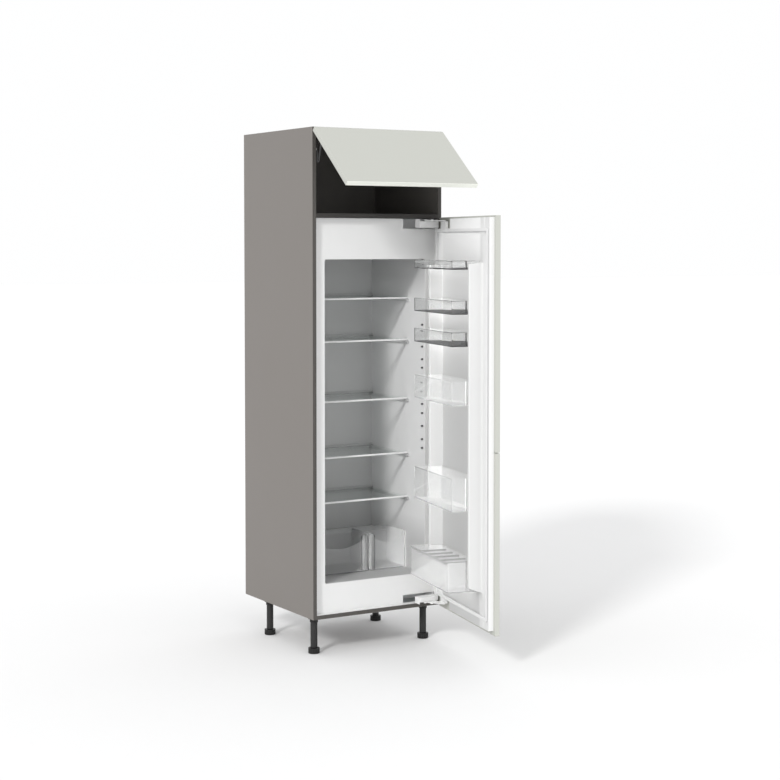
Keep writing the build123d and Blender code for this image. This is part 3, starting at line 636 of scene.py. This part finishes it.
for i, z in enumerate(SHELF_Z):
    bm = bmesh.new()
    # ground glass sheet
    ol = outline([(SX0 + 0.6, 161.0), (SX1 - 0.6, 161.0), (SX1 - 0.6, 453.0), (SX0 + 0.6, 453.0)],
                 [2, 2, 2, 2], 0.0, 3)
    il = outline([(SX0 + 0.6, 161.0), (SX1 - 0.6, 161.0), (SX1 - 0.6, 453.0), (SX0 + 0.6, 453.0)],
                 [2, 2, 2, 2], 0.5, 3)
    loft(bm, [[(x, y, z - 1.9) for x, y in il], [(x, y, z - 1.4) for x, y in ol],
              [(x, y, z + 1.4) for x, y in ol], [(x, y, z + 1.9) for x, y in il]])
    piece("shelf_%d_glass" % (i + 1), bm, ["pane"], "pane_%d" % (i + 1), stands_for=("shelf_%d" % (i + 1),))
    bm = bmesh.new()
    nose = [(157.4, z - 1.4), (157.1, z + 0.4), (157.6, z + 2.2), (158.9, z + 3.3), (161.2, z + 3.7),
            (168.6, z + 3.2), (169.6, z + 2.0), (164.0, z + 2.0), (162.4, z + 1.9), (162.4, z - 1.9),
            (164.0, z - 2.0), (169.6, z - 2.0), (168.8, z - 3.1), (161.4, z - 4.2), (158.8, z - 3.4)]
    sweep_x(bm, nose, SX0, SX1)
    back = [(444.4, z - 2.0), (444.8, z - 3.6), (446.5, z - 4.6), (453.4, z - 4.6), (454.8, z - 3.4),
            (454.8, z + 12.4), (454.0, z + 13.6), (452.4, z + 13.6), (451.6, z + 12.6), (451.4, z + 5.4),
            (450.2, z + 4.3), (446.4, z + 4.0), (444.6, z + 3.0), (444.4, z + 2.0), (451.0, z + 2.0),
            (451.8, z + 1.0), (451.8, z - 1.0), (451.0, z - 2.0)]
    piece("shelf_%d_trim" % (i + 1), bm, ["trim_white"], "pane_%d" % (i + 1))
    bm = bmesh.new()
    sweep_x(bm, back, SX0, SX1)
    piece("shelf_%d_stop" % (i + 1), bm, ["clear_trim"], "pane_%d" % (i + 1))


# ------------------------------------------------------------------ clear trays
def tray(bm, pts, radii, z0, z1, wall, top=None, bead=0.0, k=5, mat=0, base_mat=None):
    """An open tray with a rounded foot, an even wall and a beaded rim. top(x, y) gives the rim's height."""
    def at(d, dz, from_top):
        ring = []
        for x, y in outline(pts, radii, d, k):
            zt = top(x, y) if top else z1
            ring.append((x, y, zt + dz if from_top else z0 + dz))
        return ring

    rings = [at(2.0, 0.0, False), at(0.7, 0.35, False), at(0.0, 1.6, False)]
    if bead:
        rings += [at(0.0, -bead - 1.6, True), at(-0.9, -bead, True), at(-0.9, -1.2, True),
                  at(-0.35, -0.3, True), at(0.5, 0.0, True)]
    else:
        rings += [at(0.0, -1.0, True), at(0.35, -0.25, True), at(0.8, 0.0, True)]
    rings += [at(wall - 0.8, 0.0, True), at(wall - 0.2, -0.3, True), at(wall, -1.2, True),
              at(wall + 0.15, wall + 2.4, False), at(wall + 0.9, wall + 0.7, False),
              at(wall + 2.6, wall, False)]
    start = len(bm.faces)
    loft(bm, rings, mat)
    if base_mat is not None:
        bm.faces.ensure_lookup_table()
        for f in bm.faces[start:]:
            if max(v.co.z for v in f.verts) < z0 + wall + 0.9:
                f.material_index = base_mat


def crisper(name, body, x0, x1, low):
    y0, y1, z0, z1 = 160.0, 322.0, 137.6, 293.0
    xm, half = (x0 + x1) / 2, (x1 - x0) / 2 - 13

    def top(x, y):
        if y > y0 + 7.0 and not (y < y0 + 9 and abs(x - xm) < half):
            return z1
        u = (x - xm) / half
        if abs(u) >= 1.0:
            return z1
        s = 1 - u * u
        soft = min(1.0, (1.0 - abs(u)) / 0.10)
        soft = soft * soft * (3 - 2 * soft)
        return z1 - soft * (14.0 + (z1 - 14.0 - low) * s)

    n = 36
    pts = [(x0, y0)] + [(x0 + 8 + (x1 - x0 - 16) * k / n, y0) for k in range(1, n)] + [
        (x1, y0), (x1, y1), (x0, y1)]
    radii = [8.0] + [None] * (n - 1) + [8.0, 8.0, 8.0]
    bm = bmesh.new()
    tray(bm, pts, radii, z0, z1, 2.5, top, k=6)
    x = x1 - 14.0 if name == "crisper_left" else x0 + 14.0
    lathe(bm, (x, y0 + 14.0, 142.0), (0, 0, 1), [(6.0, 0.0), (9.6, 1.2), (10.4, 4.0), (10.8, 140.0), (9.8, 144.2),
                                                 (7.0, 146.0)], 28, 1)
    # two slim ribs moulded beside the post, in dark plastic as painted shade for the dark refraction lines there
    for k in (-1, 1):
        lathe(bm, (x + k * 10.6, y0 + 14.0 - k * 6.3, 142.0), (0, 0, 1), [(1.2, 0.0), (2.2, 0.8), (2.4, 138.0),
                                                                          (1.4, 139.4)], 14, 2)
    piece(name + "_tray", bm, ["clear_crisper", "clear_post", "clear_painted_shade"], body, stands_for=(name,),
          sharp=50)


crisper("crisper_left", "crisper_l", 72.0, 352.0, 240.0)
crisper("crisper_right", "crisper_r", 356.0, 528.0, 250.0)


def rack_outline(yf, x0, x1):
    pts = [(98.8, 20.5), (507.2, 20.5), (507.2, 76.9), (x1, 76.9), (x1, yf), (x0, yf), (x0, 76.9),
           (98.8, 76.9)]
    return pts, [3.0, 3.0, 1.2, 3.0, 7.0, 7.0, 3.0, 1.2]


def rack(bm, z0, z1, yf, x0, x1=519.1, bead=6.0, base_mat=None):
    pts, radii = rack_outline(yf - 0.9, x0 + 0.9, x1)
    tray(bm, pts, radii, z0, z1, 2.5, None, bead=bead, base_mat=base_mat)


RACKS = {"rack_top": [(1393.0, 1427.0)], "racks_small": [(1222.0, 1275.0), (1099.0, 1154.0)],
         "rack_medium": [(873.0, 967.0)], "rack_tall": [(467.0, 595.0)]}
for name, rows in RACKS.items():
    bm = bmesh.new()
    small = name in ("rack_top", "racks_small")
    for z0, z1 in rows:
        rack(bm, z0, z1, 140.0, 92.0, bead=4.0 if small else 6.0, base_mat=None if small else 2)
        if small:
            # a dark wedge that rises towards the door, laid on the floor: painted shade standing for the dark
            # look that refraction gives the clear floor
            rise = 7.0 if z1 - z0 < 40 else 15.0
            c = [(103.0, 25.0, rise), (502.6, 25.0, rise), (502.6, 79.0, rise * 0.53), (515.6, 79.0, rise * 0.53),
                 (515.6, 136.2, 1.2), (96.8, 136.2, 1.2), (96.8, 79.0, rise * 0.53), (103.0, 79.0, rise * 0.53)]
            loft(bm, [[(x, y, z0 + 2.8) for x, y, h in c], [(x, y, z0 + 2.8 + h) for x, y, h in c]], 1)
        # thickened corners: the far one thin, the near one a solid rod. Their colour is painted: white on the big
        # racks as a painted highlight for the bright edge of clear plastic, dark on the small racks as painted
        # shade for its dark refraction edge
        for x, y, r in ((514.5, 135.4, 1.5), (97.6, 81.6, 2.1)):
            lathe(bm, (x, y, z0 + 2.7), (0, 0, 1), [(r - 0.8, 0.0), (r - 0.1, 0.7), (r, z1 - z0 - 4.4),
                                                    (r - 0.8, z1 - z0 - 3.6)], 14, 1)
    # The small racks' second material is painted shade for the wedge and rods; the big racks' trim_white rods are
    # a painted highlight.
    piece(name + "_shell", bm, ["clear_small", "clear_painted_shade"] if small else ["clear", "trim_white", "clear_white"],
          "door", M_DOOR,
          stands_for=(name,), sharp=50)
bm = bmesh.new()
rack(bm, 156.0, 272.0, 155.0, 97.0)
for x in (166.0, 236.0, 306.0, 376.0, 446.0):
    rbox(bm, x, x + 3.4, 24.6, 151.4, 159.2, 255.0, 1.0, 2, 3)
    rbox(bm, x - 3.0, x + 6.4, 26.0, 151.6, 255.2, 262.0, 1.6, 2, 2)
rbox(bm, 106.0, 511.0, 149.4, 151.8, 262.4, 271.6, 1.0, 2, 2)
piece("rack_bottom_shell", bm, ["clear_soft", "clear_white", "clear_grey", "clear_soft"], "door",
      M_DOOR, stands_for=("rack_bottom",),
      sharp=50)

# ------------------------------------------------------------------ door lining
def ease(t):
    t = max(0.0, min(1.0, t))
    return t * t * (3 - 2 * t)


def lining(x, z):
    """Height of the moulded lining above the door's inner face, as y."""
    y = 18.0
    inside = min(x - 40.0, 560.0 - x, z - 68.0, 1535.0 - z)
    y += 2.0 * ease(inside / 7.0)
    # shallow fields above the ribs
    for xa, xb in ((60.0, 98.0), (508.0, 546.0)):
        field = min(x - xa, xb - x, z - 1421.0, 1526.0 - z)
        y += 0.8 * ease(field / 5.0)
    # the two ribs with a soft foot on their outer side
    run = min(ease((z - 150.0) / 26.0), ease((1420.0 - z) / 5.0))
    for xa, xb, out in ((78.0, 98.0, -1), (508.0, 530.0, 1)):
        e = min(x - xa, xb - x)
        if e > 0:
            top = 75.0 - (5.0 - math.sqrt(max(0.0, 25.0 - max(0.0, 5.0 - e) ** 2)))
            y = max(y, 20.0 + (top - 20.0) * run)
        edge = xa if out < 0 else xb
        u = (x - edge) * out
        if 0 <= u <= 10.0:
            y = max(y, 20.0 + (10.0 - math.sqrt(max(0.0, 100.0 - (10.0 - u) ** 2))) * run)
    return y


lx = [18.3, 30, 40, 41.5, 43.5, 45.5, 47, 60, 61.5, 63.5, 65, 68, 70, 72, 74, 76, 77.2, 78, 78.02, 78.4, 79.2,
      80.6, 83, 88, 93, 95.4, 96.8, 97.6, 97.98, 98, 110, 180, 260, 340, 429.2, 480, 508, 508.02, 508.4, 509.2,
      510.6, 513, 519, 525, 527.4, 528.8, 529.6, 529.98, 530, 530.8, 532, 534, 536, 538, 540, 541, 542.5, 544.5,
      546, 553, 554.5, 556.5, 558.5, 560, 570, 581.7]
lz = [18.8, 50.8, 68, 69.5, 71.5, 73.5, 75, 110, 150, 153, 156, 160, 165, 170, 173, 176, 260, 380, 520, 660, 800,
      940, 1080, 1220, 1340, 1415, 1416.2, 1417.5, 1418.8, 1420, 1421, 1422.5, 1424.5, 1426, 1475, 1521, 1522.5,
      1524.5, 1526, 1528, 1529.5, 1531.5, 1533.5, 1535, 1552.2, 1591.2]


def kept(i, j):
    if not (0 <= i < len(lx) - 1 and 0 <= j < len(lz) - 1):
        return False
    return not (lx[i] >= 429.2 and (lz[j] < 50.8 or lz[j] >= 1552.2))


bm = bmesh.new()
front_v = [[bm.verts.new((x, lining(x, z), z)) for z in lz] for x in lx]
back_v = [[bm.verts.new((x, 16.0, z)) for z in lz] for x in lx]
for i in range(len(lx) - 1):
    for j in range(len(lz) - 1):
        if not kept(i, j):
            continue
        for g in (front_v, back_v):
            bm.faces.new((g[i][j], g[i + 1][j], g[i + 1][j + 1], g[i][j + 1]))
        for (a, b), near_cell in ((((i, j), (i + 1, j)), (i, j - 1)), (((i, j + 1), (i + 1, j + 1)), (i, j + 1)),
                                  (((i, j), (i, j + 1)), (i - 1, j)), (((i + 1, j), (i + 1, j + 1)), (i + 1, j))):
            if not kept(*near_cell):
                bm.faces.new((front_v[a[0]][a[1]], front_v[b[0]][b[1]], back_v[b[0]][b[1]], back_v[a[0]][a[1]]))
bmesh.ops.delete(bm, geom=[v for v in bm.verts if not v.link_faces], context="VERTS")
for z0, z1 in [r for rows in RACKS.values() for r in rows] + [(156.0, 272.0)]:
    zl = z0 + (z1 - z0) * 0.35
    for xa, xb in ((97.0, 101.4), (504.6, 509.0)):
        rbox(bm, xa, xb, 56.0, 64.0, zl, zl + 8.0, 1.2, 2)
piece("door_lining", bm, ["door_white"], "door", M_DOOR, stands_for=("door_liner",), sharp=42)

# ------------------------------------------------------------------ gasket
bm = bmesh.new()
gpts = [(24.0, 52.0), (576.0, 52.0), (576.0, 1551.0), (24.0, 1551.0)]
gprof = [(4.2, 18.2), (2.2, 18.5), (2.0, 19.4), (3.4, 20.1), (3.2, 20.6), (1.0, 21.2), (0.5, 22.2),
         (0.3, 23.8), (0.9, 24.5), (2.4, 24.7), (6.0, 24.62), (9.6, 24.7), (11.4, 24.5), (12.2, 23.8),
         (12.3, 22.9), (13.2, 22.4), (13.9, 21.4), (13.4, 20.6), (11.2, 20.2), (11.0, 19.4), (12.6, 18.8),
         (12.4, 18.3), (10.0, 18.2)]
grings = []
for d, y in gprof:
    grings.append([(x, y, z) for x, z in outline(gpts, [7.0] * 4, d, 6)])
loft(bm, grings, closed=True)
piece("door_gasket_bellows", bm, ["rubber"], "door", M_DOOR, stands_for=("door_gasket",))

# ------------------------------------------------------------------ cover strips beside the frame
bm = bmesh.new()
for xa, xb in ((16.05, 16.75), (583.25, 583.95)):
    rbox(bm, xa, xb, 1.4, 27.0, 19.0, 1591.0, 0.3, 2)
piece("cover_strips", bm, ["cover_white"], "cabinet")

# ------------------------------------------------------------------ caps on the stays' pins
bm = bmesh.new()
for x, side in ((24.1, -1), (575.9, 1)):
    lathe(bm, (x, -25.0, 1889.0), (side, 0, 0), [(3.1, 0.0), (3.3, 0.12), (3.2, 0.32), (2.4, 0.45)], 20)
piece("stay_pin_caps", bm, ["trim_white"], "flap")

# ------------------------------------------------------------------ floor, light, camera
me = bpy.data.meshes.new("floor")
me.from_pydata([(-60, -60, -0.1502), (60, -60, -0.1502), (60, 60, -0.1502), (-60, 60, -0.1502)], [],
               [(0, 1, 2, 3)])
floor = bpy.data.objects.new("floor", me)
scene.collection.objects.link(floor)
fm = Mat("floor")
fn = fm.noise(3.0, 3.0, 0.5)
fm.color(fm.mix(fn, (0.846, 0.847, 0.849), (0.854, 0.855, 0.857)))
fm.rough(0.9)
fm.b.inputs["Specular IOR Level"].default_value = 0.05
me.materials.append(fm.m)

world = bpy.data.worlds.new("studio")
scene.world = world
world.use_nodes = True
world.node_tree.nodes["Background"].inputs["Color"].default_value = (0.997, 0.998, 1.0, 1)
world.node_tree.nodes["Background"].inputs["Strength"].default_value = 1.0

key = bpy.data.lights.new("key", "SUN")
key.energy = 1.45
key.angle = math.radians(10.0)
key.color = (1.0, 0.995, 0.985)
ko = bpy.data.objects.new("key", key)
scene.collection.objects.link(ko)
travel = Vector((1.55, 1.0, -1.05)).normalized()
ko.rotation_mode = "QUATERNION"
ko.rotation_quaternion = travel.to_track_quat("-Z", "Y")
ko.location = -travel * 6

cam = bpy.data.cameras.new("camera")
cam.lens = 78.434
cam.sensor_width = 36.0
cam.shift_y = -0.085
cam.clip_end = 200.0
co = bpy.data.objects.new("camera", cam)
co.location = (-3.4848, -6.1758, 1.4865)
co.rotation_euler = (math.radians(90 - 2.6483), 0, -math.radians(31.0736))
scene.collection.objects.link(co)
scene.camera = co
scene.view_settings.view_transform = "Standard"
scene.view_settings.look = "None"
